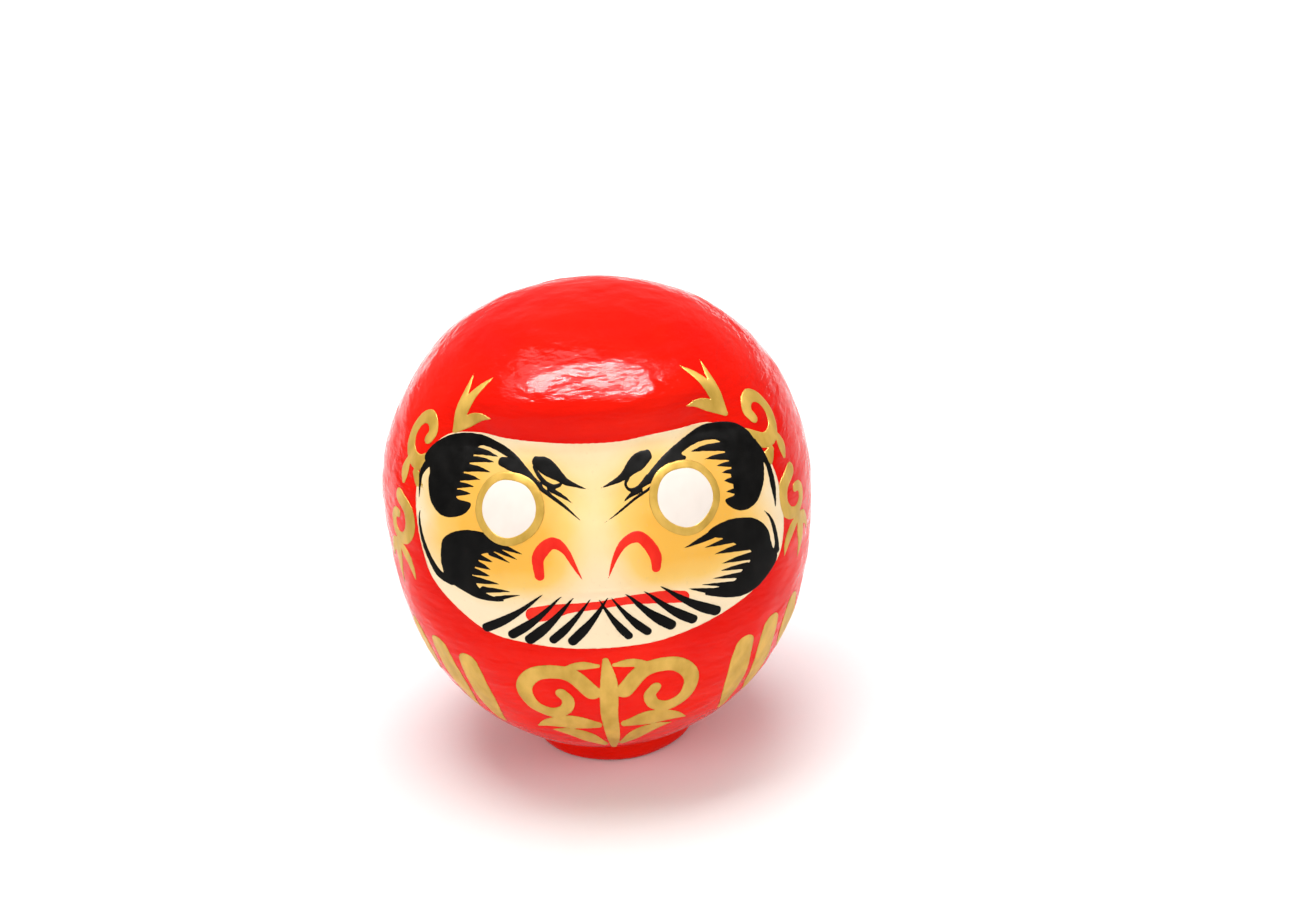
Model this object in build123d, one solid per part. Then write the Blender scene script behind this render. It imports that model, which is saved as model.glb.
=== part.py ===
from build123d import *
import os
from math import cos, degrees, exp, pi, sin

# A hollow paper daruma doll: a pressed paper-pulp body in two halves, a fired clay weight
# that is also its foot, and the coats of paint on the outside. Sizes are in millimetres.
# The origin is the middle of the foot, on the surface that it stands on. The face looks
# along -Y and +Z is up.

# ---- Driving sizes of the painted body ------------------------------------------------
body_height = 150.0
body_width = 135.0
body_depth = 127.0
widest_height = 88.2         # where the body is widest
neck_height = 7.0            # where the body meets its foot
neck_radius = 27.4
backward_lean = 0.03         # how far the middle shifts back for each millimetre of height

# Roundness of the side outline, above and below the widest height
upper_fall, upper_round = 1.86, 2.33
lower_fall, lower_round = 2.33, 2.04

# Level sections are circles near the foot and turn into slightly squared ovals
oval_start, oval_full = 5.0, 50.0
oval_power = 2.2

# ---- Face: a shallow hollow under the forehead, with a nose and two eyes --------------
brow_edge = 134.0            # the forehead starts to turn in here
brow_crease = 118.5          # and is deepest here, at the top of the face
chin_height = 60.0           # the hollow has run out here
face_depth = 9.0
face_full_angle, face_end_angle = 38.0, 60.0

face_round = 60.0            # the face is about as round as a drum of this radius
nose_top, nose_ledge, nose_under = 116.0, 83.5, 77.5
nose_rise = 4.6
nose_top_spread, nose_base_spread = 5.5, 17.5
nose_flare = 1.3             # how late the nose widens on its way down
nose_fall, eye_fall = 2.6, 1.5       # how squarely the nose and eyes end at their sides

eye_side, eye_height = 26.0, 102.0
eye_radius, eye_rise = 12.5, 1.6

# Edge of the white face on the right half, as (sideways, height) from the chin up.
# The left half mirrors it.
face_edge = [(0, 61.5), (26, 63.8), (44, 70.5), (53, 80), (55, 92), (52.5, 106), (46, 117), (38, 120.8), (0, 121.2)]

# ---- Layers, from the outside in, as depths below the painted surface -----------------
red_coat_depth = 0.5         # white ground and red lacquer together
pulp_top, pulp_depth = 0.6, 2.6      # pressed paper pulp
strip_top, strip_depth = 2.7, 3.3    # paper strip pasted inside, over the joint
face_coat_low, face_coat_high = 0.1, 0.4    # above the painted surface
layer_gap = 0.1
strip_width = 12.0
strip_foot = 22.0            # the strip starts at this height on each side

# ---- Foot and weight ------------------------------------------------------------------
foot_radius = 26.6
foot_edge_round = 2.0
base_paper_thick = 0.3
base_paper_radius = 23.5
spigot_radius = 18.0         # stands up in the opening of the paper body
spigot_height = 17.0
spigot_edge_round = 5.0
collar_thick = 0.9           # paper ring packed round the spigot
collar_height = 5.0

ring_count = 15              # level sections in a body surface
ring_points = 28             # points round each section
top_flat = 0.4               # the last section lies this far below the crown
top_crowding = 0.65          # 0 spaces the sections evenly; 1 draws them together at the crown
cut_margin = 3.0             # cutting bodies reach this far past what they cut
seat_height = neck_height + pulp_top


def smooth_step(low, high, value):
    """Runs smoothly from 0 at low to 1 at high."""
    part = min(max((value - low) / (high - low), 0.0), 1.0)
    return part * part * (3 - 2 * part)


def half_width(height, grow=0.0):
    """Half the body's width at a height. A positive grow moves the surface outwards."""
    at_neck = (1 - (neck_radius / (body_width / 2)) ** lower_round) ** (1 / lower_fall)
    if height >= widest_height:
        fall = (height - widest_height) / (body_height + grow - widest_height)
        share = (1 - min(fall, 1.0) ** upper_fall) ** (1 / upper_round)
    else:
        fall = (widest_height - height) / ((widest_height - neck_height) / at_neck + grow)
        share = (1 - min(fall, 1.0) ** lower_fall) ** (1 / lower_round)
    return (body_width / 2 + grow) * share


def middle_shift(height):
    """How far back the middle of a level section lies."""
    return backward_lean * max(height - neck_height, 0.0)


def face_hollow(angle, height):
    """Depth of the face below the plain body. It is negative on the nose and eyes."""
    if cos(angle) <= 0:
        return 0.0
    under_brow = 1 - smooth_step(brow_crease, brow_edge, height)
    above_chin = min(max((height - chin_height) / (brow_crease - chin_height), 0.0), 1.0)
    sideways = 1 - smooth_step(face_full_angle, face_end_angle, abs(degrees(angle)))
    hollow = face_depth * under_brow * above_chin * sideways

    across = abs(face_round * sin(angle))
    down_nose = min(max((nose_top - height) / (nose_top - nose_ledge), 0.0), 1.0)
    spread = nose_top_spread + (nose_base_spread - nose_top_spread) * down_nose ** nose_flare
    rise = nose_rise * smooth_step(0, 1, down_nose) * smooth_step(nose_under, nose_ledge, height)
    nose = rise * exp(-((across / spread) ** nose_fall))

    from_eye = ((across - eye_side) ** 2 + (height - eye_height) ** 2) / eye_radius ** 2
    return hollow - nose - eye_rise * exp(-(from_eye ** eye_fall))


def body_point(angle, height, grow=0.0):
    """A point on the body. Angle 0 is the front, and it grows towards +X."""
    oval = smooth_step(oval_start, oval_full, height)
    squash = 1 - (1 - body_depth / body_width) * oval
    power = 2 + (oval_power - 2) * oval
    side, front = abs(sin(angle)), abs(cos(angle)) / squash
    radius = half_width(height, grow) * (side ** power + front ** power) ** (-1 / power)
    radius -= face_hollow(angle, height)
    return Vector(radius * sin(angle), middle_shift(height) - radius * cos(angle), height)


def body_solid(grow, bottom):
    """The body as a closed solid, with its surface moved outwards by grow."""
    top = body_height + grow - top_flat
    rings = []
    for index in range(ring_count + 1):
        share = index / ring_count
        climb = (1 - top_crowding) * share + top_crowding * sin(share * pi / 2)
        height = bottom + (top - bottom) * climb
        places = [body_point(2 * pi * turn / ring_points, height, grow) for turn in range(ring_points)]
        rings.append(Wire(Edge.make_spline(places, periodic=True)))
    return Solid.make_loft(rings, ruled=True)


def body_skin(outside, inside, bottom):
    """A layer of the body between two depths, open at the bottom."""
    return body_solid(-outside, bottom) - body_solid(-inside, bottom - cut_margin)


def disc(radius, low, high, edge_round=0.0, edge_place=0):
    """An upright round disc. edge_place 0 rounds its lower edge and -1 its upper edge."""
    plain = Pos(0, 0, (low + high) / 2) * Cylinder(radius, high - low)
    if edge_round:
        return fillet(plain.edges().group_by(Axis.Z)[edge_place], edge_round)
    return plain


# The joint between the halves is a plane through the middle, leaning back with the body
joint_plane = Plane(origin=(0, 0, neck_height), x_dir=(1, 0, 0), z_dir=(0, -backward_lean, 1))


def pulp_shells():
    """The front and back halves of the pressed paper body."""
    pulp = body_skin(pulp_top, pulp_depth, seat_height)
    block = Box(3 * body_width, 2 * body_depth, 3 * body_height)
    to_middle = body_depth + layer_gap / 2
    front = pulp & (joint_plane * Pos(0, -to_middle, 0) * block)
    back = pulp & (joint_plane * Pos(0, to_middle, 0) * block)
    return front, back


def joint_strip():
    """The paper strip pasted inside the body over the joint, clear of the foot."""
    slab = Box(3 * body_width, strip_width, 3 * body_height)
    return body_skin(strip_top, strip_depth, strip_foot) & (joint_plane * slab)


def weight():
    """The clay foot, with the spigot that stands up inside the body."""
    clay_low = base_paper_thick + red_coat_depth + layer_gap
    clay_radius = foot_radius - red_coat_depth - layer_gap
    foot = disc(clay_radius, clay_low, seat_height - layer_gap, foot_edge_round - red_coat_depth)
    sole_radius = foot_radius - foot_edge_round - red_coat_depth - layer_gap
    sole = disc(sole_radius, base_paper_thick + layer_gap, foot_edge_round)
    spigot = disc(spigot_radius, neck_height, spigot_height, spigot_edge_round, -1)
    return foot + sole + spigot


def collar():
    """The paper ring packed round the spigot where it enters the body."""
    hole = spigot_radius + layer_gap
    top = seat_height + collar_height
    ring = disc(hole + collar_thick, seat_height, top)
    return ring - disc(hole, seat_height - cut_margin, top + cut_margin)


def red_coat():
    """The red paint over the body and down round the foot."""
    outside = body_solid(0, neck_height)
    outside += disc(foot_radius, base_paper_thick, neck_height, foot_edge_round)
    under_edge = base_paper_thick + red_coat_depth
    inside = body_solid(-red_coat_depth, neck_height + red_coat_depth)
    inside += disc(foot_radius - red_coat_depth, under_edge, seat_height, foot_edge_round - red_coat_depth)
    inside += disc(foot_radius - foot_edge_round - red_coat_depth, -cut_margin, seat_height)
    return outside - inside


def face_coat():
    """The white face, a thin layer over the red inside the edge of the face."""
    left = [(-side, height) for side, height in reversed(face_edge[1:-1])]
    edge = Edge.make_spline([Vector(side, 0, height) for side, height in face_edge + left], periodic=True)
    window = extrude(Face(Wire(edge)), amount=2 * body_depth, dir=(0, -1, 0))
    return body_skin(-face_coat_high, -face_coat_low, neck_height) & window


def save(name, solid, colour):
    solid.label = name
    solid.color = Color(*colour)
    export_step(solid, "parts/" + name + ".step")


if __name__ == "__main__":
    os.makedirs("parts", exist_ok=True)
    front, back = pulp_shells()
    save("front_shell", front, (0.62, 0.58, 0.50))
    save("back_shell", back, (0.58, 0.54, 0.47))
    save("joint_strip", joint_strip(), (0.90, 0.87, 0.78))
    save("base_weight", weight(), (0.66, 0.45, 0.33))
    save("weight_collar", collar(), (0.85, 0.80, 0.68))
    save("base_paper", disc(base_paper_radius, 0, base_paper_thick), (0.90, 0.86, 0.74))
    save("red_coat", red_coat(), (0.80, 0.04, 0.03))
    save("face_coat", face_coat(), (0.95, 0.90, 0.80))
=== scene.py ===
import math

import bpy
import numpy as np
from mathutils import Matrix, Vector


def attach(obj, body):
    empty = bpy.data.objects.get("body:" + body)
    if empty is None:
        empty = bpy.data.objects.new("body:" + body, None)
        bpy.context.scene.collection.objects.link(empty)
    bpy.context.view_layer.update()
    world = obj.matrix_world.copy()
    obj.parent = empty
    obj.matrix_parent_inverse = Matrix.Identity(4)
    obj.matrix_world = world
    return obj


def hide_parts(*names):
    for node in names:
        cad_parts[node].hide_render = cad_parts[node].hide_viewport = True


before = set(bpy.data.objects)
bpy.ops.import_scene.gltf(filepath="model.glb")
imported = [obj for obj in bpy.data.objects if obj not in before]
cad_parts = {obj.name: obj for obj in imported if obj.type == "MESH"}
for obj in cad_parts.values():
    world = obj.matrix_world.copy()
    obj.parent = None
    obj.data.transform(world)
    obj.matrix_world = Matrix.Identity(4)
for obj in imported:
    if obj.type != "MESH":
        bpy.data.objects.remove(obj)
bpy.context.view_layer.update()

# A hollow paper daruma doll. The body is one smooth surface, given by a formula in millimetres
# and turned into metres where meshes are made. Paint and brush marks are thin closed films
# that follow that surface.
MM = 0.001

# ---- Body, the same shape as the CAD model (mm) ---------------------------------------
BODY_HEIGHT, BODY_WIDTH, BODY_DEPTH = 150.0, 135.0, 127.0
WIDEST = 88.2                # height where the body is widest
NECK, NECK_RADIUS = 7.0, 27.4                # where the body meets its foot
FOOT_RADIUS = 26.6
LEAN = 0.03                  # how far the middle shifts back for each millimetre of height
UPPER_FALL, UPPER_ROUND = 1.86, 2.33         # roundness of the side outline above the widest height
LOWER_FALL, LOWER_ROUND = 2.33, 2.04         # and below it
OVAL_START, OVAL_FULL = 5.0, 50.0            # level sections turn from circles into ovals here
OVAL_POWER = 2.2             # 2 is a plain oval; more is squarer
PULP = (-0.6, -2.6)          # pulp wall, as depths below the painted surface
PULP_LOW = 8.0               # the height of its lower edge

# ---- Face: a shallow hollow under the forehead, with a nose and two eyes (mm) ---------
BROW_EDGE, BROW_CREASE, CHIN = 134.0, 118.5, 60.0
FACE_DEPTH = 9.0
FACE_FULL, FACE_END = 38, 60                 # the hollow runs out between these angles (degrees)
FACE_ROUND = 60.0            # sideways places on the face are arcs on a drum of this radius
NOSE_TOP, NOSE_LEDGE, NOSE_UNDER = 116.0, 83.5, 77.5
NOSE_TOP_SPREAD, NOSE_BASE_SPREAD = 5.5, 17.5
NOSE_RISE = 4.6
NOSE_FLARE = 1.3             # how late the nose widens on its way down
NOSE_FALL, EYE_FALL = 2.6, 1.5               # how squarely the nose and eyes end at their sides
EYE_SIDE, EYE_HEIGHT, EYE_RADIUS, EYE_RISE = 26.0, 102.0, 12.5, 1.6
EYES = ((-27.5, 104.6), (29.0, 104.4))       # middles of the painted eyes, as (sideways arc, height)

# ---- Unevenness of hand-laid paper (mm) -----------------------------------------------
FADE_IN = 8.0                # it fades in over this height above the neck
TURN_UP = (14.0, 1.0)        # between these depths below the crown it turns from outwards to upwards


def smooth_step(low, high, value):
    """Runs smoothly from 0 at low to 1 at high."""
    part = np.clip((value - low) / (high - low), 0.0, 1.0)
    return part * part * (3 - 2 * part)


# The lower outline is scaled in height so that it has the neck's radius at the neck
AT_NECK = (1 - (NECK_RADIUS / (BODY_WIDTH / 2)) ** LOWER_ROUND) ** (1 / LOWER_FALL)
LOWER_REACH = (WIDEST - NECK) / AT_NECK


def half_width(height):
    """Half the body's width at a height."""
    rise = np.clip((height - WIDEST) / (BODY_HEIGHT - WIDEST), 0, 1)
    fall = np.clip((WIDEST - height) / LOWER_REACH, 0, 1)
    upper = (1 - rise ** UPPER_FALL) ** (1 / UPPER_ROUND)
    lower = (1 - fall ** LOWER_FALL) ** (1 / LOWER_ROUND)
    return BODY_WIDTH / 2 * np.where(height >= WIDEST, upper, lower)


def face_hollow(angle, height):
    """Depth of the face below the plain body. It is negative on the nose and eyes."""
    angle = np.arctan2(np.sin(angle), np.cos(angle))
    front = np.cos(angle) > 0
    under_brow = 1 - smooth_step(BROW_CREASE, BROW_EDGE, height)
    above_chin = np.clip((height - CHIN) / (BROW_CREASE - CHIN), 0, 1)
    sideways = 1 - smooth_step(FACE_FULL, FACE_END, np.degrees(np.abs(angle)))
    hollow = FACE_DEPTH * under_brow * above_chin * sideways

    across = np.abs(FACE_ROUND * np.sin(angle))
    down_nose = np.clip((NOSE_TOP - height) / (NOSE_TOP - NOSE_LEDGE), 0, 1)
    spread = NOSE_TOP_SPREAD + (NOSE_BASE_SPREAD - NOSE_TOP_SPREAD) * down_nose ** NOSE_FLARE
    rise = NOSE_RISE * smooth_step(0, 1, down_nose) * smooth_step(NOSE_UNDER, NOSE_LEDGE, height)
    nose = rise * np.exp(-((across / spread) ** NOSE_FALL))

    from_eye = ((across - EYE_SIDE) ** 2 + (height - EYE_HEIGHT) ** 2) / EYE_RADIUS ** 2
    eye = EYE_RISE * np.exp(-(from_eye ** EYE_FALL))
    return np.where(front, hollow - nose - eye, 0.0)


def wave_set(seed, count, length, height):
    """Random plane waves that add up to a gentle unevenness of about the given height."""
    source = np.random.default_rng(seed)
    ways = source.normal(size=(count, 3))
    ways /= np.linalg.norm(ways, axis=1)[:, None]
    lengths = length * source.uniform(0.7, 1.4, count)
    shifts = source.uniform(0, 2 * math.pi, count)
    return ways * (2 * math.pi / lengths)[:, None], shifts, height / math.sqrt(count)


# Broad dents, smaller ones and fine wrinkles, as (seed, count, length, height)
WAVES = [wave_set(11, 18, 42.0, 0.26), wave_set(12, 26, 15.0, 0.12), wave_set(13, 34, 5.5, 0.04)]


def unevenness(places):
    """How far hand-laid paper stands above or below the smooth body at some places."""
    total = np.zeros(places.shape[:-1])
    for ways, shifts, height in WAVES:
        for way, shift in zip(ways, shifts):
            total += height * np.sin(places @ way + shift)
    return total


def uneven_way(angle, height):
    """Which way, and by what share, the unevenness moves places on the body."""
    outward = np.stack([np.sin(angle), -np.cos(angle), np.zeros_like(angle)], -1)
    at_top = smooth_step(BODY_HEIGHT - TURN_UP[0], BODY_HEIGHT - TURN_UP[1], height)[..., None]
    fade = smooth_step(NECK, NECK + FADE_IN, height)[..., None]
    return (outward * (1 - at_top) + np.array([0, 0, 1.0]) * at_top) * fade


def surface(angle, height):
    """Places on the body (mm). Angle 0 is the front and grows towards +X."""
    angle, height = np.broadcast_arrays(np.asarray(angle, float), np.asarray(height, float))
    oval = smooth_step(OVAL_START, OVAL_FULL, height)
    squash = 1 - (1 - BODY_DEPTH / BODY_WIDTH) * oval
    power = 2 + (OVAL_POWER - 2) * oval
    side, front = np.abs(np.sin(angle)), np.abs(np.cos(angle)) / squash
    radius = half_width(height) * (side ** power + front ** power) ** (-1 / power)
    radius = radius - face_hollow(angle, height)
    shift = LEAN * np.clip(height - NECK, 0, None)
    plain = np.stack([radius * np.sin(angle), shift - radius * np.cos(angle), height], -1)
    return plain + uneven_way(angle, height) * unevenness(plain)[..., None]


def outward_normal(angle, height):
    """Unit normals of the body, from short steps along and up its surface."""
    step = 0.02
    turn = step / FACE_ROUND
    along = surface(angle + turn, height) - surface(angle - turn, height)
    up = surface(angle, height + step) - surface(angle, height - step)
    normal = np.cross(along, up)
    return normal / np.linalg.norm(normal, axis=-1, keepdims=True)


def make_piece(name, places, faces, material):
    """A piece that rides the root body, from places in mm."""
    mesh = bpy.data.meshes.new(name)
    mesh.from_pydata((np.asarray(places) * MM).tolist(), [], faces)
    mesh.validate()
    mesh.shade_smooth()
    mesh.materials.append(material)
    piece = bpy.data.objects.new(name, mesh)
    bpy.context.scene.collection.objects.link(piece)
    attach(piece, "root")
    return piece


# ---- Materials ------------------------------------------------------------------------
class Nodes:
    """Short names for building a material's nodes."""

    def __init__(self, name):
        self.material = bpy.data.materials.new(name)
        self.material.use_nodes = True
        self.tree = self.material.node_tree
        self.shader = self.tree.nodes["Principled BSDF"]
        self.place = self.add("ShaderNodeTexCoord").outputs["Object"]

    def add(self, kind, **values):
        node = self.tree.nodes.new(kind)
        for key, value in values.items():
            setattr(node, key, value)
        return node

    def link(self, source, target):
        self.tree.links.new(source, target)

    def noise(self, size_mm, detail, stretch=None, rough=0.5):
        """Cloudy noise of a grain size. A stretch above 1 makes it finer along that axis."""
        node = self.add("ShaderNodeTexNoise")
        node.inputs["Scale"].default_value = 1 / (size_mm * MM)
        node.inputs["Detail"].default_value = detail
        node.inputs["Roughness"].default_value = rough
        place = self.place
        if stretch:
            mapping = self.add("ShaderNodeMapping")
            mapping.inputs["Scale"].default_value = stretch
            self.link(place, mapping.inputs["Vector"])
            place = mapping.outputs["Vector"]
        self.link(place, node.inputs["Vector"])
        return node.outputs["Fac"]

    def ramp(self, source, stops):
        """Colours between stops, each a place from 0 to 1 and a colour."""
        node = self.add("ShaderNodeValToRGB")
        while len(node.color_ramp.elements) < len(stops):
            node.color_ramp.elements.new(0.5)
        for element, (at, colour) in zip(node.color_ramp.elements, stops):
            element.position = at
            element.color = (*colour, 1)
        self.link(source, node.inputs["Fac"])
        return node.outputs["Color"]

    def span(self, source, low, high, from_low=0.3, from_high=0.7, kind="LINEAR"):
        """Maps a value that runs from from_low to from_high on to low to high."""
        node = self.add("ShaderNodeMapRange", interpolation_type=kind)
        node.inputs["From Min"].default_value = from_low
        node.inputs["From Max"].default_value = from_high
        node.inputs["To Min"].default_value = low
        node.inputs["To Max"].default_value = high
        self.link(source, node.inputs["Value"])
        return node.outputs["Result"]

    def mix(self, amount, under, over):
        """Lays a plain colour over another colour's socket, by an amount from 0 to 1."""
        # A colour mix has its colours at inputs 6 and 7 and its result at output 2
        node = self.add("ShaderNodeMix", data_type="RGBA")
        self.link(amount, node.inputs[0])
        self.link(under, node.inputs[6])
        node.inputs[7].default_value = (*over, 1)
        return node.outputs[2]

    def combine(self, kind, first, second):
        """ADD or MULTIPLY, kept between 0 and 1. The second value is a socket or a number."""
        node = self.add("ShaderNodeMath", operation=kind, use_clamp=True)
        self.link(first, node.inputs[0])
        if hasattr(second, "is_linked"):
            self.link(second, node.inputs[1])
        else:
            node.inputs[1].default_value = second
        return node.outputs["Value"]

    def ball(self, centre_mm, size_mm):
        """1 at a place on the doll, fading to 0 over the given half sizes."""
        mapping = self.add("ShaderNodeMapping", vector_type="TEXTURE")
        mapping.inputs["Location"].default_value = [value * MM for value in centre_mm]
        mapping.inputs["Scale"].default_value = [value * MM for value in size_mm]
        self.link(self.place, mapping.inputs["Vector"])
        node = self.add("ShaderNodeTexGradient", gradient_type="SPHERICAL")
        self.link(mapping.outputs["Vector"], node.inputs["Vector"])
        return node.outputs["Fac"]

    def bump(self, source, height_mm, strength, after=None):
        """Fine relief. It can be laid over an earlier one's normal."""
        node = self.add("ShaderNodeBump")
        node.inputs["Strength"].default_value = strength
        node.inputs["Distance"].default_value = height_mm * MM
        self.link(source, node.inputs["Height"])
        if after:
            self.link(after, node.inputs["Normal"])
        self.link(node.outputs["Normal"], self.shader.inputs["Normal"])
        return node.outputs["Normal"]

    def set(self, **values):
        """Sets plain values on the shader, with _ for a space in a socket's name."""
        for key, value in values.items():
            self.shader.inputs[key.replace("_", " ")].default_value = value


def red_lacquer():
    """Glossy red over hand-laid paper: crinkled, with duller patches."""
    made = Nodes("red_lacquer")
    cloud = made.noise(38, detail=3)
    brushed = made.noise(9, detail=4, stretch=(0.25, 0.25, 2.6))
    colour = made.ramp(cloud, [(0.30, (0.74, 0.004, 0.0015)), (0.70, (0.86, 0.012, 0.003))])
    streak = made.span(brushed, 0.0, 0.35, 0.45, 0.75)
    made.link(made.mix(streak, colour, (0.68, 0.003, 0.0015)), made.shader.inputs["Base Color"])
    made.link(made.span(brushed, 0.08, 0.26, 0.42, 0.66), made.shader.inputs["Roughness"])
    made.set(Specular_IOR_Level=0.07)
    dents = made.noise(13, detail=1, stretch=(0.6, 0.6, 1.3))
    wrinkles = made.noise(3.0, detail=2.5, stretch=(0.55, 0.55, 1.5))
    broad = made.bump(dents, height_mm=1.5, strength=0.7)
    made.bump(wrinkles, height_mm=0.55, strength=0.8, after=broad)
    return made.material


# Soft spots of sprayed orange on the right half of the face, mirrored on the left, as
# (sideways, height, half width, half height, strength)
SPOT_FRONT, SPOT_DEPTH = -46, 34             # where they lie front to back, and their half depth
GLOW_SPOTS = [(27, 98, 28, 26, 0.85), (32, 90, 25, 14, 0.8), (39, 110, 18, 17, 0.8),
              (14, 90, 14, 18, 0.5), (16, 108, 16, 14, 0.45)]


def face_glow(made):
    """How strongly the face is sprayed with orange, as a socket from 0 to 1."""
    glow = None
    for side in (-1, 1):
        for sideways, height, wide, tall, strength in GLOW_SPOTS:
            spot = made.ball((side * sideways, SPOT_FRONT, height), (wide, SPOT_DEPTH, tall))
            spot = made.combine("MULTIPLY", spot, strength)
            glow = spot if glow is None else made.combine("ADD", glow, spot)
    nose_ridge = made.ball((0, -54, 101), (19, 40, 70))
    pale_ridge = made.span(nose_ridge, 1.0, 0.45, 0.0, 1.0, kind="SMOOTHSTEP")
    glow = made.combine("MULTIPLY", glow, pale_ridge)
    between_eyes = made.combine("MULTIPLY", made.ball((0, -54, 105), (34, 40, 27)), 0.30)
    glow = made.combine("ADD", glow, between_eyes)
    return made.combine("MULTIPLY", glow, made.span(made.noise(14, detail=4), 0.85, 1.15))


def face_paint():
    """Cream white with soft sprayed orange round the eyes and over the cheeks."""
    made = Nodes("face_paint")
    glow = face_glow(made)
    colour = made.ramp(glow, [(0.0, (0.93, 0.75, 0.50)), (0.2, (0.92, 0.66, 0.33)),
                              (0.5, (0.91, 0.56, 0.14)), (1.0, (0.90, 0.46, 0.06))])
    speck = made.span(made.noise(1.1, detail=2), 0.0, 0.16, 0.62, 0.75)
    made.link(made.mix(speck, colour, (0.62, 0.42, 0.22)), made.shader.inputs["Base Color"])
    made.link(made.span(made.noise(6, detail=3), 0.46, 0.62), made.shader.inputs["Roughness"])
    made.set(Specular_IOR_Level=0.2)
    made.bump(made.noise(2.2, detail=4, rough=0.6), height_mm=0.03, strength=0.5)
    return made.material


def brush_paint(name, dark, light, rough, metallic=0.0, streak=0.3, gloss=0.15):
    """Paint laid with a brush: two near tones, in streaks along the stroke."""
    made = Nodes(name)
    tone = made.noise(5, detail=4, stretch=(1.0, 1.0, 0.45))
    made.link(made.ramp(tone, [(0.32, dark), (0.68, light)]), made.shader.inputs["Base Color"])
    patches = made.span(made.noise(3, detail=4), rough - 0.08, rough + 0.1)
    made.link(patches, made.shader.inputs["Roughness"])
    made.set(Metallic=metallic, Specular_IOR_Level=gloss)
    made.bump(made.noise(1.2, detail=4, stretch=(1.0, 1.0, 0.35)), height_mm=0.03, strength=streak)
    return made.material


def plain_stuff(name, dark, light, size, rough, bump):
    """Paper, pulp or clay: mottled at the given grain size in mm."""
    made = Nodes(name)
    tone = made.ramp(made.noise(size, detail=5), [(0.3, dark), (0.7, light)])
    made.link(tone, made.shader.inputs["Base Color"])
    patches = made.span(made.noise(size * 2, detail=3), rough - 0.08, rough + 0.06)
    made.link(patches, made.shader.inputs["Roughness"])
    made.bump(made.noise(size * 0.5, detail=5), height_mm=bump, strength=0.7)
    return made.material


LACQUER = red_lacquer()
FACE = face_paint()
INK = brush_paint("black_ink", (0.0015, 0.0014, 0.0013), (0.005, 0.0045, 0.004), 0.42, gloss=0.07)
GOLD = brush_paint("gold_paint", (0.50, 0.30, 0.045), (0.72, 0.44, 0.09), 0.42, metallic=0.15, streak=0.6)
MARK_RED = brush_paint("mark_red", (0.80, 0.012, 0.006), (0.90, 0.03, 0.012), 0.4)
EYE_WHITE = brush_paint("eye_white", (0.88, 0.78, 0.70), (0.92, 0.82, 0.74), 0.42)
PULP_STUFF = plain_stuff("paper_pulp", (0.36, 0.32, 0.26), (0.56, 0.51, 0.43), 2.5, 0.9, 0.2)
PAPER_STUFF = plain_stuff("pasted_paper", (0.74, 0.69, 0.58), (0.88, 0.84, 0.74), 4.0, 0.85, 0.06)
CLAY_STUFF = plain_stuff("fired_clay", (0.40, 0.21, 0.13), (0.56, 0.33, 0.22), 1.8, 0.92, 0.15)


# ---- Body -----------------------------------------------------------------------------
ROUND_COUNT = 360            # columns of the red body's mesh
BODY_SPACING = 1.2           # and the distance between its rows
SOLE = 0.34                  # height of the painted underside, just above the base paper
CROWN_TIP = 0.01             # the crown's middle stands this far above its last ring
NECK_LAP = 0.15              # and the body's first ring this far above the neck
OUTLINE_STEPS = 1500, 3000   # steps along the lower and upper outline, to measure its length
FOOT_OUTLINE = [             # (beyond the foot's radius, height), from the underside to the neck
    (-2.6, 0.34), (-1.8, 0.42), (-1.1, 0.75), (-0.55, 1.3), (-0.2, 2.0), (-0.05, 3.0), (0.0, 4.4),
    (-0.1, 5.6), (-0.12, 6.3), (0.05, 6.75), (0.45, 6.95),
]


def body_rows(low, spacing):
    """Heights from low to the crown, evenly spaced along the outline."""
    lower = np.linspace(low, WIDEST, OUTLINE_STEPS[0])
    climb = np.sin(np.linspace(0, math.pi / 2, OUTLINE_STEPS[1])[1:-1])
    fine = np.concatenate([lower, WIDEST + (BODY_HEIGHT - WIDEST) * climb])
    wide = half_width(fine)
    length = np.concatenate([[0], np.cumsum(np.hypot(np.diff(fine), np.diff(wide)))])
    count = int(length[-1] / spacing)
    return np.interp(np.linspace(0, length[-1], count), length, fine)


def ring_faces(rows):
    """The faces between closed rings that lie one above another."""
    faces = []
    for row in range(rows - 1):
        low = row * ROUND_COUNT
        high = low + ROUND_COUNT
        for turn in range(ROUND_COUNT):
            after = (turn + 1) % ROUND_COUNT
            faces.append((low + turn, low + after, high + after, high + turn))
    return faces


def foot_ring(angles, beyond, height):
    """One level ring of the foot, slightly uneven as a hand-made one is."""
    radius = FOOT_RADIUS + beyond + 0.18 * np.sin(3 * angles + 1) + 0.10 * np.sin(7 * angles + height / 2)
    return np.stack([radius * np.sin(angles), -radius * np.cos(angles), angles * 0 + height], -1)


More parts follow.
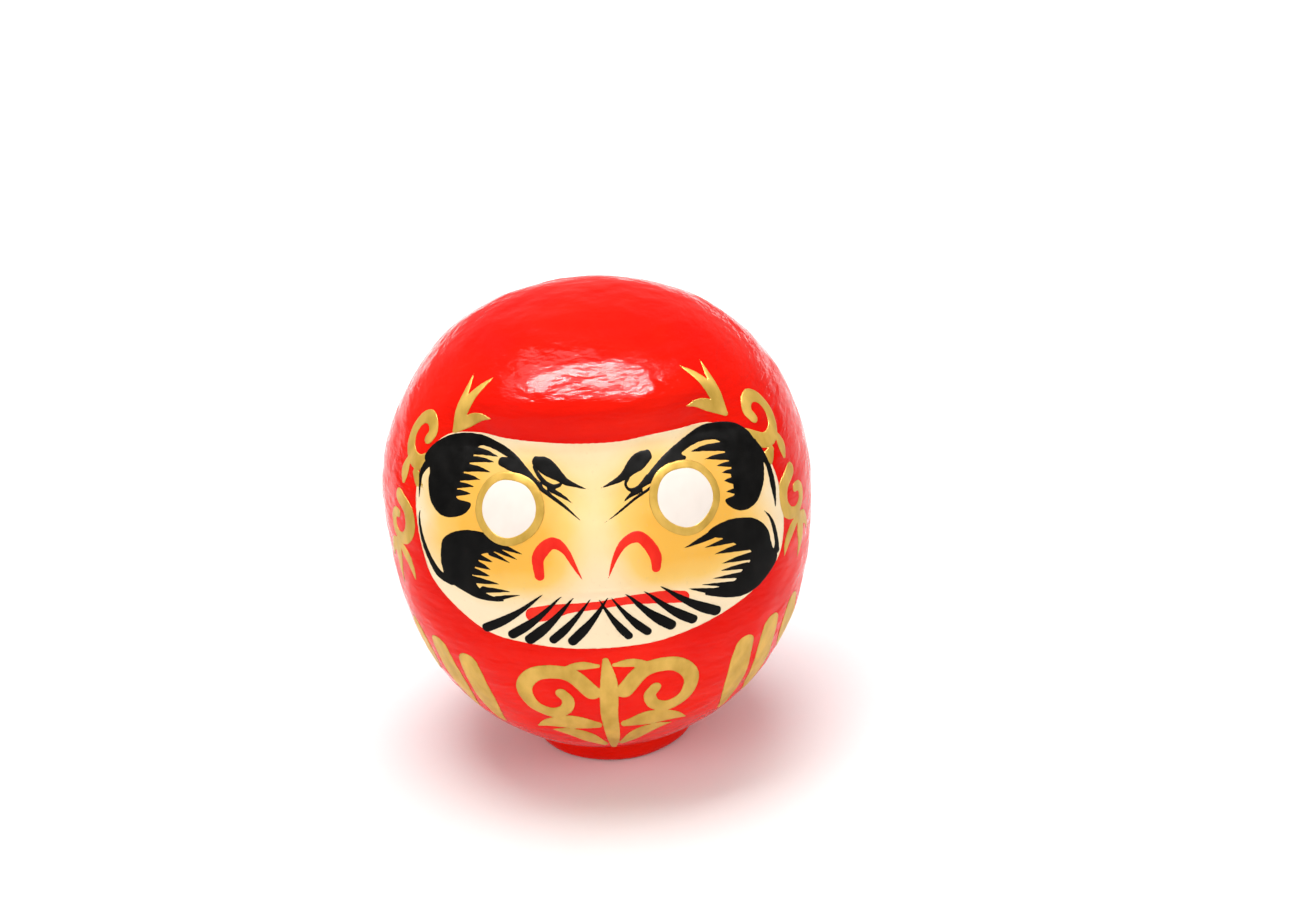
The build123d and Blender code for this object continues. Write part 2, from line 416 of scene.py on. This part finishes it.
def painted_body():
    """The red body and foot in one closed skin."""
    angles = np.linspace(0, 2 * math.pi, ROUND_COUNT, endpoint=False)
    rings = [foot_ring(angles, beyond, height) for beyond, height in FOOT_OUTLINE]
    for height in body_rows(NECK + NECK_LAP, BODY_SPACING)[:-1]:
        rings.append(surface(angles, height))
    faces = ring_faces(len(rings))
    crown = rings[-1].mean(axis=0)
    crown[2] = rings[-1][:, 2].max() + CROWN_TIP
    places = np.concatenate(rings + [[[0, 0, SOLE]], [crown]])
    bottom, top = len(places) - 2, len(places) - 1
    last = (len(rings) - 1) * ROUND_COUNT
    for turn in range(ROUND_COUNT):
        after = (turn + 1) % ROUND_COUNT
        faces.append((bottom, after, turn))
        faces.append((last + turn, last + after, top))
    return make_piece("painted_body", places, faces, LACQUER)


def wall_piece(name, depths, low, angle_low, angle_high, spacing, material):
    """A part of the paper wall between two depths and two angles, as a closed solid."""
    columns = int(FACE_ROUND * (angle_high - angle_low) / spacing)
    angles = np.linspace(angle_low, angle_high, columns)
    angle, height = np.meshgrid(angles, body_rows(low, spacing)[:-2])
    base = surface(angle, height)
    normal = outward_normal(angle, height)
    places = np.concatenate([(base + normal * depth).reshape(-1, 3) for depth in depths])
    rows, size = len(base), angle.size
    index = np.arange(size).reshape(rows, columns)
    faces = []
    for row in range(rows - 1):
        for col in range(columns - 1):
            a, b = index[row, col], index[row, col + 1]
            c, d = index[row + 1, col + 1], index[row + 1, col]
            faces.append((a, b, c, d))
            faces.append((size + d, size + c, size + b, size + a))
    edge = list(index[0, :]) + list(index[1:, -1]) + list(index[-1, -2::-1]) + list(index[-2:0:-1, 0])
    for here, there in zip(edge, edge[1:] + edge[:1]):
        faces.append((there, here, size + here, size + there))
    return make_piece(name, places, [tuple(int(i) for i in face) for face in faces], material)


# ---- Films: flat shapes laid over the body, as (sideways arc, height) in mm -------------
CURVE_CUTS = 6               # straight bits between two points of a curve
THINNEST = 0.03              # least half width of a stroke
FAR, TINY = 1e9, 1e-12
MARGIN = 4.0                 # distances are measured this far round a shape
EYE_MARGIN = 19.0            # or round the middle of an eye
FILM_THICK = 0.10
FILM_SINK = 0.05             # a film's underside lies this far below its lift
EDGE_TAPER = 0.35            # how gently a film thins towards its edge


def closed_curve(points):
    """A smooth closed curve through points."""
    points = np.asarray(points, float)
    before, after, beyond = np.roll(points, 1, 0), np.roll(points, -1, 0), np.roll(points, -2, 0)
    out = []
    for share in np.arange(CURVE_CUTS) / CURVE_CUTS:
        out.append(0.5 * (2 * points + (after - before) * share
                          + (2 * before - 5 * points + 4 * after - beyond) * share ** 2
                          + (3 * points - before - 3 * after + beyond) * share ** 3))
    return np.stack(out, 1).reshape(-1, 2)


def open_curve(points):
    """A smooth open curve through points, each with a half width."""
    points = np.asarray(points, float)
    points = np.concatenate([2 * points[:1] - points[1:2], points, 2 * points[-1:] - points[-2:-1]])
    out = []
    for a, b, c, d in zip(points, points[1:], points[2:], points[3:]):
        for share in np.arange(CURVE_CUTS) / CURVE_CUTS:
            out.append(0.5 * (2 * b + (c - a) * share + (2 * a - 5 * b + 4 * c - d) * share ** 2
                              + (3 * b - a - 3 * c + d) * share ** 3))
    out.append(points[-2])
    out = np.array(out)
    out[:, 2] = np.clip(out[:, 2], THINNEST, None)
    return out


def from_outline(spots, outline):
    """Distance from spots to a closed outline, negative inside it."""
    nearest = np.full(len(spots), FAR)
    inside = np.zeros(len(spots), bool)
    for start, end in zip(outline, np.roll(outline, -1, 0)):
        way = end - start
        share = np.clip(((spots - start) @ way) / max(way @ way, TINY), 0, 1)
        gap = spots - start - share[:, None] * way
        nearest = np.minimum(nearest, np.hypot(gap[:, 0], gap[:, 1]))
        crosses = (start[1] > spots[:, 1]) != (end[1] > spots[:, 1])
        if crosses.any():
            slope = way[0] / way[1]
            inside ^= crosses & (spots[:, 0] < start[0] + (spots[:, 1] - start[1]) * slope)
    return np.where(inside, -nearest, nearest)


def from_stroke(spots, stroke):
    """Distance from spots to a brush stroke whose half width changes along it."""
    nearest = np.full(len(spots), FAR)
    for start, end in zip(stroke, stroke[1:]):
        way = end[:2] - start[:2]
        share = np.clip(((spots - start[:2]) @ way) / max(way @ way, TINY), 0, 1)
        gap = spots - start[:2] - share[:, None] * way
        wide = start[2] + (end[2] - start[2]) * share
        nearest = np.minimum(nearest, np.hypot(gap[:, 0], gap[:, 1]) - wide)
    return nearest


def in_eye(spots, eye, inner, outer):
    """Distance from a disc or ring round an eye, negative inside it.

    It is measured straight through space, so that the eye looks round on the curved face.
    """
    centre = surface(eye[0] / FACE_ROUND, eye[1])
    gap = np.linalg.norm(surface(spots[:, 0] / FACE_ROUND, spots[:, 1]) - centre, axis=1)
    round_eye = np.arctan2(spots[:, 1] - eye[1], spots[:, 0] - eye[0])
    gap = gap + 0.12 * np.sin(3 * round_eye + eye[0]) + 0.08 * np.sin(5 * round_eye)
    return np.maximum(gap - outer, inner - gap)


def depth_in(shapes, spots):
    """Distance from spots to the nearest of some shapes, negative inside a shape."""
    depth = np.full(len(spots), FAR)
    for measure, *values in shapes:
        points = np.atleast_2d(values[0])[:, :2]
        margin = EYE_MARGIN if measure is in_eye else MARGIN
        near = ((spots > points.min(0) - margin) & (spots < points.max(0) + margin)).all(1)
        depth[near] = np.minimum(depth[near], measure(spots[near], *values))
    return depth


def cut_grid(across, up, depth):
    """The part of a grid where depth is negative, cut off along the line where it is 0.

    Returns its corners, as (across, up, depth), and its faces.
    """
    inside = depth < 0
    touched = inside[:-1, :-1] | inside[1:, :-1] | inside[:-1, 1:] | inside[1:, 1:]
    flat, numbers, faces = [], {}, []

    def corner(spot):
        if spot not in numbers:
            numbers[spot] = len(flat)
            row, col = spot
            flat.append((across[col], up[row], depth[spot]))
        return numbers[spot]

    def crossing(first, second):
        key = (min(first, second), max(first, second))
        if key not in numbers:
            (r0, c0), (r1, c1) = key
            share = np.clip(depth[r0, c0] / (depth[r0, c0] - depth[r1, c1]), 0.02, 0.98)
            numbers[key] = len(flat)
            flat.append((across[c0] + (across[c1] - across[c0]) * share,
                         up[r0] + (up[r1] - up[r0]) * share, 0.0))
        return numbers[key]

    for row, col in np.argwhere(touched).tolist():
        ring = [(row, col), (row, col + 1), (row + 1, col + 1), (row + 1, col)]
        full = [bool(inside[spot]) for spot in ring]
        if full in ([True, False, True, False], [False, True, False, True]):
            # Two corners that lie across from each other get a triangle each
            for at in (0, 2) if full[0] else (1, 3):
                spot, after = ring[at], ring[(at + 1) % 4]
                faces.append([crossing(ring[at - 1], spot), corner(spot), crossing(spot, after)])
            continue
        face = []
        for at, spot in enumerate(ring):
            after = ring[(at + 1) % 4]
            if inside[spot]:
                face.append(corner(spot))
            if inside[spot] != inside[after]:
                face.append(crossing(spot, after))
        faces.append(face)
    return np.array(flat), faces


def film(name, shapes, low, high, step, material, lift, ragged):
    """A thin closed film over the body where any of the shapes is. Its edge thins to nothing."""
    across = np.arange(low[0], high[0] + step, step)
    up = np.arange(low[1], high[1] + step, step)
    grid = np.stack(np.meshgrid(across, up), -1)
    spots = grid.reshape(-1, 2)
    uneven_edge = np.sin(spots[:, 0] * 2.1 + spots[:, 1] * 0.7) * np.sin(spots[:, 1] * 2.7 + 1.3)
    depth = depth_in(shapes, spots) + ragged * uneven_edge
    flat, faces = cut_grid(across, up, depth.reshape(grid.shape[:2]))

    angle, height = flat[:, 0] / FACE_ROUND, flat[:, 1]
    base, normal = surface(angle, height), outward_normal(angle, height)
    swell = 1 - np.exp(flat[:, 2] / EDGE_TAPER)
    top = base + normal * (lift + FILM_THICK * swell)[:, None]
    under = base + normal * (lift - FILM_SINK)
    # The underside has places of its own inside the edge, and shares the edge with the top
    inner = np.flatnonzero(flat[:, 2] < 0)
    below = np.arange(len(flat))
    below[inner] = len(flat) + np.arange(len(inner))
    places = np.concatenate([top, under[inner]])
    upper_side = [tuple(face) for face in faces]
    lower_side = [tuple(int(below[i]) for i in reversed(face)) for face in faces]
    return make_piece(name, places, upper_side + lower_side, material)


# A shape is the function that measures it, followed by its values
def outline(points):
    """A filled outline through points (sideways, height)."""
    return from_outline, closed_curve(points)


def stroke(*points):
    """A brush stroke through points (sideways, height, half width)."""
    return from_stroke, open_curve(points)


def comb(*ends):
    """Pointed brush ends, each from a thick base (x, z, half width) to a fine tip (u, v)."""
    return [stroke((x, z, wide), ((x + u) / 2, (z + v) / 2 + 0.1, wide * 0.62), (u, v, 0.05))
            for x, z, wide, u, v in ends]


def left_brow():
    """The brow on the picture's left: a mass of black, a comb of brush ends and loose strokes."""
    mass = outline([
        (-53, 121.5), (-57, 118.5), (-58.5, 114.5), (-55.8, 112), (-55.3, 108), (-53.5, 103),
        (-50, 99.6), (-46, 99.2), (-42, 101), (-40.6, 104), (-45.6, 104.6), (-46.4, 107.2),
        (-46.1, 109.3), (-45.6, 111.7), (-44.6, 114.3), (-44.1, 116.3), (-43.2, 118.7),
        (-38, 118.6), (-33, 117.6), (-28, 116.4), (-23.5, 114), (-20.3, 112.5), (-17.5, 111),
        (-14.5, 109.6), (-7.5, 106.5), (-11.5, 109), (-15.5, 110.7), (-19, 112.3), (-22.5, 114.7),
        (-27, 117.6), (-32.5, 120), (-37, 121.2), (-42.5, 122.2), (-48, 122.5),
    ])
    ends = comb(
        (-44, 117.5, 1.1, -33.9, 117.0), (-44.5, 115.3, 1.0, -34.5, 115.6),
        (-45.3, 113.0, 1.2, -35.5, 113.0), (-46, 110.5, 1.2, -39, 110.5),
        (-46.4, 108.2, 1.0, -40.5, 108.4), (-46.8, 106, 1.1, -41, 106.4),
    )
    lines = [
        stroke((-33, 116, 1.2), (-29, 115.6, 1.7), (-25, 114.4, 1.5), (-21, 112, 1.0),
               (-17.5, 110.3, 0.7)),
        stroke((-18, 110.3, 0.7), (-14, 107.8, 0.6), (-9.3, 104.9, 0.5), (-3.8, 101.4, 0.08)),
        stroke((-15, 109.8, 0.7), (-11, 107.9, 0.5), (-6.5, 105.7, 0.08)),
        stroke((-20.5, 116.7, 1.3), (-17, 115.6, 2.2), (-14, 114.2, 2.0), (-11.3, 112.6, 1.4),
               (-8.5, 111.1, 0.9), (-1.5, 109.2, 0.08)),
        stroke((-21, 115.3, 0.4), (-18.5, 113, 0.7), (-16, 111.2, 0.7), (-13.5, 110.3, 0.7),
               (-11.3, 110.7, 0.6), (-10.6, 111.8, 0.5)),
        stroke((-55.5, 116, 1.6), (-57, 113, 1.2), (-58, 110, 0.7), (-57.6, 106.5, 0.4),
               (-57, 102, 0.06)),
    ]
    return [mass] + ends + lines


def right_brow():
    """The brow on the picture's right."""
    mass = outline([
        (50.5, 120.6), (53.5, 119.5), (55.6, 117), (56.3, 114), (56.6, 110), (56, 106), (54.5, 102),
        (52.3, 98), (50, 96), (47, 95.4), (44.3, 96.4), (42, 98.5), (41.6, 100.4), (44.8, 100.8),
        (45.3, 103), (45.8, 106), (46.8, 108), (47, 110), (47, 112.5), (46.6, 115.7), (42, 116.4),
        (37, 116.2), (32.5, 115.2), (33.5, 114.2), (32.3, 113.3), (27.5, 112.3), (23, 110.3),
        (19, 109.3), (15, 107.9), (9.5, 105.5), (13.5, 108.5), (17, 110.6), (20.5, 113),
        (24.5, 115.2), (29.5, 117.2), (35, 118.8), (40.5, 120), (45.5, 120.8),
    ])
    ends = comb(
        (47.5, 114, 1.4, 35, 115), (47.5, 111.2, 1.2, 39.5, 112), (47.5, 109, 1.0, 42.5, 109.5),
        (47, 107, 0.9, 43.3, 107.5), (46.5, 104.5, 1.2, 43, 105.3), (46, 101.6, 1.0, 42.5, 102.3),
    )
    lines = [
        stroke((22, 109.7, 0.5), (18, 108, 0.45), (13.5, 105.9, 0.45), (8.5, 103.4, 0.4),
               (2.2, 100.7, 0.08)),
        stroke((15.5, 108.1, 0.8), (12.5, 106.8, 0.5), (9, 105, 0.08)),
        stroke((20.6, 116.4, 1.4), (17, 115.2, 2.2), (14, 113.9, 1.9), (11.2, 112.2, 1.3),
               (8, 110.9, 0.8), (2, 109.3, 0.08)),
        stroke((12.2, 111.5, 0.6), (11, 110, 0.55), (11.6, 108.5, 0.55), (13.2, 108.2, 0.6),
               (15.3, 108.9, 0.6), (18.5, 111.2, 0.6)),
        stroke((56, 114, 0.6), (56.8, 110.5, 0.7), (57.3, 105.5, 0.8), (57, 100.5, 0.9),
               (56.7, 96, 0.5), (56.2, 92.5, 0.06)),
    ]
    return [mass] + ends + lines


def left_beard():
    """The beard on the picture's left: a mass, a comb and the long stroke down the cheek."""
    mass = outline([
        (-49, 90), (-48.3, 92.7), (-46, 94.8), (-42.5, 96.2), (-39, 96.8), (-35, 97), (-32, 96),
        (-29.5, 95.2), (-28.8, 93.4), (-31, 91.7), (-35.5, 90), (-36.5, 88), (-37.7, 85.5),
        (-38.5, 83), (-37.3, 80.8), (-35, 78.6), (-30, 77), (-28.5, 76.3), (-33, 75.8),
        (-37.5, 76.2), (-41.5, 77.3), (-45, 78.6), (-48, 80.5), (-48.3, 82.5), (-49, 85.5),
    ])
    ends = comb(
        (-31, 94.3, 1.3, -22, 91.5), (-31, 92.6, 1.0, -23.5, 89.6), (-32.5, 91, 1.0, -26, 88.5),
        (-36, 89, 1.0, -31.5, 88), (-37, 86.8, 1.2, -32.5, 85.6), (-38, 84.3, 1.2, -32.5, 83.6),
        (-38, 81.8, 1.2, -29.5, 81.5), (-35, 79.2, 1.1, -26, 79.6), (-31, 76.9, 0.9, -23, 79),
    )
    cheek_line = stroke(
        (-56, 100.5, 0.1), (-56.2, 98, 0.3), (-55.2, 93.5, 0.5), (-53.7, 88.5, 0.7),
        (-51.7, 84.5, 0.9), (-49, 81, 1.2), (-45.5, 79.5, 1.2),
    )
    return [mass] + ends + [cheek_line]


def right_beard():
    """The beard on the picture's right."""
    mass = outline([
        (46, 93.6), (49, 92.6), (51.5, 90.4), (53.3, 87), (53.8, 83.5), (54.5, 80.5), (55.7, 78.5),
        (55.3, 76), (53.3, 73.8), (50.3, 71.6), (46.5, 70.1), (42, 69.7), (38, 70.6), (34, 72.2),
        (30.5, 74), (32, 75.3), (36, 75.2), (40.3, 75.4), (42.8, 77.4), (46, 79.6), (46.8, 82.6),
        (43, 85.8), (39, 89), (35.5, 90.7), (33.5, 92.6), (36, 94), (41.5, 94.4),
    ])
    ends = comb(
        (38, 92.3, 1.7, 25, 90), (44, 88, 1.5, 31.5, 88.6), (47, 84.5, 1.6, 34.5, 85.6),
        (48, 81, 1.4, 36.5, 82), (45, 78.6, 1.1, 35.5, 80), (42.5, 76.4, 1.0, 33, 78.4),
        (40, 74.4, 1.0, 29, 77.6), (36, 73.2, 1.3, 25, 77.4),
    )
    cheek_line = stroke(
        (52.5, 94, 0.1), (54.2, 91, 0.45), (55.2, 87, 0.7), (55.7, 82.5, 0.8), (55.4, 79.5, 1.2),
    )
    return [mass] + ends + [cheek_line]


def whisker(x, z, u, v, wide):
    """A brush stroke that starts as a point by the mouth and swells to a round end."""
    points = []
    for share, width in ((0, 0.08), (0.25, 0.4), (0.5, 0.66), (0.75, 0.92), (1, 0.92)):
        sag = 0.9 * math.sin(share * math.pi)
        points.append((x + (u - x) * share, z + (v - z) * share - sag, wide * width))
    return stroke(*points)


# Each goes from a point (x, z) to a round end (u, v), and has a half width
WHISKERS = [
    (-17, 79.5, -34.6, 67, 1.5), (-11.5, 79, -26.6, 66, 1.5), (-8, 78.5, -21.5, 64.8, 1.7),
    (-3, 78, -14.6, 65, 1.4), (2, 78, -9, 64.5, 1.6), (-0.5, 77.5, 7.2, 65.4, 1.35),
    (3, 78, 12.6, 66.2, 1.4), (7, 79.5, 19.6, 67, 1.7), (12.5, 79.5, 26.2, 67.2, 1.6),
    (17.5, 80, 33.6, 67.8, 1.7),
]
# The red lines round the nostrils and along the mouth, as (sideways, height, half width)
NOSTRILS = [
    [(-17.3, 86, 1.7), (-17.8, 90.5, 2.0), (-16.3, 93.3, 2.1), (-14, 95.2, 1.8), (-11.5, 95.2, 1.6),
     (-9, 93.5, 1.2), (-7, 90.5, 0.85), (-4.3, 85.6, 0.08)],
    [(2.3, 85.6, 0.08), (4.5, 91, 0.75), (7, 94.4, 1.2), (10, 95.8, 1.5), (13, 95.6, 1.7),
     (15.4, 92.9, 1.9), (16.8, 89.5, 1.9), (16.5, 86.5, 1.5)],
]
MOUTH = [
    (-20, 72.8, 2.5), (-15, 73.8, 2.4), (-9.5, 75, 1.6), (-4.5, 75.5, 1.4), (1, 76, 1.3),
    (4, 76.4, 1.4), (9, 76.9, 1.6), (14.5, 76.6, 1.9), (19.5, 76, 2.1), (24, 75, 1.9),
]
# Edge of the white face, from the chin up the picture's right side and down its left
FACE_EDGE = [
    (0, 61.6), (14, 62.2), (26, 64), (37, 66.7), (48, 70.8), (55.5, 76), (58.6, 84), (59, 95),
    (58.8, 105), (56.8, 112.3), (53.5, 118.3), (47, 120.9), (40, 121.4), (26, 121.7), (13, 120.9),
    (0, 121), (-9.5, 121.3), (-22, 122), (-34, 122.4), (-45, 122.8), (-53, 121.9), (-57, 118),
    (-58.6, 112), (-58.6, 104.5), (-56.5, 95), (-53, 82), (-47, 73.8), (-36, 66.5), (-25, 63.8),
    (-10, 62),
]


def leaf(x, z, way, length, wide):
    """A leaf: a stroke that swells and runs out to a point, at an angle in degrees."""
    u, v = math.cos(math.radians(way)), math.sin(math.radians(way))
    bend = math.copysign(0.10 * length, u)
    points = []
    for share, aside, width in ((0, 0, 0.45), (0.35, bend, 1), (0.7, bend, 0.65)):
        along = length * share
        points.append((x + u * along - v * aside, z + v * along + u * aside, wide * width))
    return stroke(*points, (x + u * length, z + v * length, 0.08))


def curl(x, z, size, start, sweep, wide):
    """A scroll round a centre. It starts outside and winds inwards over the sweep (degrees)."""
    points = []
    for share in np.linspace(0, 1, 9):
        angle = math.radians(start + sweep * share)
        reach = size * (1 - 0.72 * share)
        width = wide * (1 - 0.35 * share)
        points.append((x + reach * math.cos(angle), z + reach * math.sin(angle), width))
    return stroke(*points)


def mirrored(make):
    """The shapes made for the right side (1) and for the left side (-1)."""
    return make(1) + make(-1)


def outwards(side):
    """The direction away from the middle, in degrees: 0 on the right and 180 on the left."""
    return 90 - side * 90


def chest_scroll(side):
    """One half of the scroll on the chest: a large curl, and broad leaves below it."""
    return [curl(side * 18, 42, 13.0, 90 + side * 80, -side * 385, 2.9),
            leaf(side * 5, 29, outwards(side) - side * 6, 24, 3.4),
            leaf(side * 4, 17, outwards(side) + side * 24, 21, 3.2),
            leaf(side * 2.5, 55, outwards(side) - side * 12, 13, 1.6)]


def sprig(x, z, way, length, wide):
    """Three leaves spread like a fan from one place. The middle one is the biggest."""
    return [leaf(x, z, way + turn, length * share, wide * share)
            for turn, share in ((-40, 0.85), (0, 1.0), (40, 0.85))]


def side_scroll(side):
    """Scrolls and leaves up one side of the head."""
    shapes = [curl(side * 61.5, 120.5, 8.5, outwards(side) + side * 215, side * 345, 2.3),
              curl(side * 66, 93, 8.0, 90, side * 350, 2.2),
              leaf(side * 60.5, 110, outwards(side) - side * 125, 9, 1.9),
              leaf(side * 65, 106, outwards(side) + side * 95, 8, 1.9)]
    shapes += sprig(side * 51.5, 123, outwards(side) + side * 120, 17, 2.2)
    shapes += sprig(side * 66.5, 86, outwards(side) - side * 88, 15, 2.2)
    return shapes


# As (sideways, top, bottom, half width)
ROBE_FOLDS = [(44.0, 51.5, 25, 4.4), (54.8, 54.0, 28, 4.5), (67.2, 55.0, 39, 4.3)]


def robe_folds(side):
    """Broad strokes down the side of the chest."""
    shapes = []
    for x, high, low, wide in ROBE_FOLDS:
        upper, lower = (2 * high + low) / 3, (high + 2 * low) / 3
        shapes.append(stroke((side * x, high, wide * 0.8), (side * x, upper, wide),
                             (side * (x + 1), lower, wide * 0.95), (side * (x + 3), low, wide * 0.5)))
    return shapes


def gold_marks():
    """The gold brush ornament: scrolls on the chest and up the sides, and the folds of the robe."""
    stem = stroke((0, 57, 1.0), (0.4, 47, 2.8), (-0.3, 34, 3.0), (0.3, 21, 2.6), (0, 12.5, 1.2))
    return [stem] + mirrored(chest_scroll) + mirrored(side_scroll) + mirrored(robe_folds)


# ---- Pieces ---------------------------------------------------------------------------
ON_BODY, ON_FACE, OVER_INK, OVER_WHITE = 0.05, 0.13, 0.18, 0.23      # lifts of the films (mm)
WALL_GAP = 0.002             # radians between the back wall and the front one
LEFT_EYE_AREA = (-45, 90), (-12, 120)
RIGHT_EYE_AREA = (12, 90), (46, 120)

body = painted_body()
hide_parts("red_coat")

face = film("face_panel", [outline(FACE_EDGE)], (-62, 58), (62, 126), 0.6, FACE, ON_BODY, ragged=0.05)
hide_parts("face_coat")

front = wall_piece("front_wall", PULP, PULP_LOW, -math.pi / 2, math.pi / 2, 2.0, PULP_STUFF)
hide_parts("front_shell")
joint_angles = math.pi / 2 + WALL_GAP, math.pi * 1.5 - WALL_GAP
back = wall_piece("back_wall", PULP, PULP_LOW, *joint_angles, 2.6, PULP_STUFF)
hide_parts("back_shell")

# Name, shapes, lowest and highest corner of the area to mesh, mesh step, material and lift
films = [
    ("left_brow_ink", left_brow(), (-62, 96), (0, 125), 0.25, INK, ON_FACE),
    ("right_brow_ink", right_brow(), (0, 92), (62, 124), 0.25, INK, ON_FACE),
    ("left_beard_ink", left_beard(), (-62, 73), (-18, 103), 0.25, INK, ON_FACE),
    ("right_beard_ink", right_beard(), (20, 66), (62, 97), 0.25, INK, ON_FACE),
    ("mouth_line", [stroke(*MOUTH)], (-24, 68), (28, 82), 0.3, MARK_RED, ON_FACE),
    ("nostril_lines", [stroke(*line) for line in NOSTRILS], (-22, 82), (22, 99), 0.3, MARK_RED, ON_FACE),
    ("whisker_ink", [whisker(*line) for line in WHISKERS], (-38, 60), (38, 83), 0.25, INK, OVER_WHITE),
    ("left_eye_ring", [(in_eye, EYES[0], 8.5, 11.0)], *LEFT_EYE_AREA, 0.3, GOLD, OVER_WHITE),
    ("right_eye_ring", [(in_eye, EYES[1], 8.7, 11.2)], *RIGHT_EYE_AREA, 0.3, GOLD, OVER_WHITE),
    ("left_eye_white", [(in_eye, EYES[0], 0.0, 8.8)], *LEFT_EYE_AREA, 0.35, EYE_WHITE, OVER_INK),
    ("right_eye_white", [(in_eye, EYES[1], 0.0, 9.0)], *RIGHT_EYE_AREA, 0.35, EYE_WHITE, OVER_INK),
    ("gold_marks", gold_marks(), (-92, 10), (92, 142), 0.4, GOLD, ON_BODY),
]
for name, shapes, low, high, step, material, lift in films:
    piece = film(name, shapes, low, high, step, material, lift, ragged=0.04)

# The pieces inside and under the doll keep the CAD model's shape
inside_stuff = {"joint_strip": PAPER_STUFF, "weight_collar": PAPER_STUFF, "base_paper": PAPER_STUFF,
                "base_weight": CLAY_STUFF}
for node, material in inside_stuff.items():
    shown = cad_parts[node]
    shown.data.materials.clear()
    shown.data.materials.append(material)

# ---- Floor, light and camera (m) --------------------------------------------------------
MIDDLE = (0, 0, 0.07)        # the lamps point at the middle of the doll
FLOOR_REACH = 3
PITCH, ROLL, DISTANCE = math.radians(25.0), math.radians(-3.74), 0.7788
LENS, SENSOR = 64.94, 36.0                   # mm
FOOT_LEFT, FOOT_BELOW = 0.0148, 0.1150       # the foot's place off the camera's axis, as slopes


def pale_floor():
    mesh = bpy.data.meshes.new("floor")
    corners = [(-1, -1), (1, -1), (1, 1), (-1, 1)]
    mesh.from_pydata([(x * FLOOR_REACH, y * FLOOR_REACH, 0) for x, y in corners], [], [(0, 1, 2, 3)])
    look = Nodes("floor_paper")
    tone = look.ramp(look.noise(60, detail=2), [(0.3, (0.90, 0.90, 0.90)), (0.7, (0.92, 0.92, 0.92))])
    look.link(tone, look.shader.inputs["Base Color"])
    look.set(Roughness=0.7)
    mesh.materials.append(look.material)
    made = bpy.data.objects.new("floor", mesh)
    bpy.context.scene.collection.objects.link(made)
    return made


def studio_world():
    world = bpy.data.worlds.new("studio")
    world.use_nodes = True
    background = world.node_tree.nodes["Background"]
    background.inputs["Color"].default_value = (1.0, 0.99, 0.98, 1)
    background.inputs["Strength"].default_value = 0.38
    bpy.context.scene.world = world


def soft_light(name, place, target, width, tall, power, only_gloss=False, spread=180):
    """A flat lamp that either lights surfaces or only shows as a highlight on glossy ones."""
    data = bpy.data.lights.new(name, "AREA")
    data.spread = math.radians(spread)
    data.shape, data.size, data.size_y, data.energy = "RECTANGLE", width, tall, power
    lamp = bpy.data.objects.new(name, data)
    lamp.location = place
    lamp.rotation_euler = (Vector(target) - Vector(place)).to_track_quat("-Z", "Y").to_euler()
    lamp.visible_diffuse = not only_gloss
    lamp.visible_glossy = only_gloss
    bpy.context.scene.collection.objects.link(lamp)


def lamps():
    soft_light("overhead", (-0.05, 0.10, 0.95), MIDDLE, 0.80, 0.50, 7.0)
    soft_light("backdrop", (0.0, 1.15, 1.2), (0, 1.15, 0), 2.4, 1.0, 14, spread=90)
    soft_light("front_left", (-1.0, -1.0, 0.75), MIDDLE, 0.9, 0.9, 7.6)
    soft_light("front_right", (1.1, -0.8, 0.85), MIDDLE, 0.9, 0.9, 6.7)
    soft_light("gloss_card", (0.00, -0.11, 0.95), MIDDLE, 0.74, 0.17, 46, only_gloss=True)
    soft_light("gloss_halo", (-0.05, -0.10, 1.00), MIDDLE, 1.10, 0.50, 15, only_gloss=True)


def photo_camera():
    """Looks down at the doll, and is turned so that the doll leans a little to the left."""
    ahead = Vector((0, math.cos(PITCH), -math.sin(PITCH)))
    level_up, level_right = Vector((0, math.sin(PITCH), math.cos(PITCH))), Vector((1, 0, 0))
    right = level_right * math.cos(ROLL) + level_up * math.sin(ROLL)
    upward = level_up * math.cos(ROLL) - level_right * math.sin(ROLL)
    to_foot = ahead - right * FOOT_LEFT - upward * FOOT_BELOW
    data = bpy.data.cameras.new("camera")
    data.sensor_width = SENSOR
    data.lens = LENS
    made = bpy.data.objects.new("camera", data)
    turn = Matrix((right, upward, -ahead)).transposed().to_4x4()
    made.matrix_world = Matrix.Translation(-to_foot * DISTANCE) @ turn
    bpy.context.scene.collection.objects.link(made)
    return made


floor = pale_floor()
studio_world()
lamps()
bpy.context.scene.camera = photo_camera()
bpy.context.scene.view_settings.view_transform = "Standard"
bpy.context.scene.view_settings.exposure = 0.0
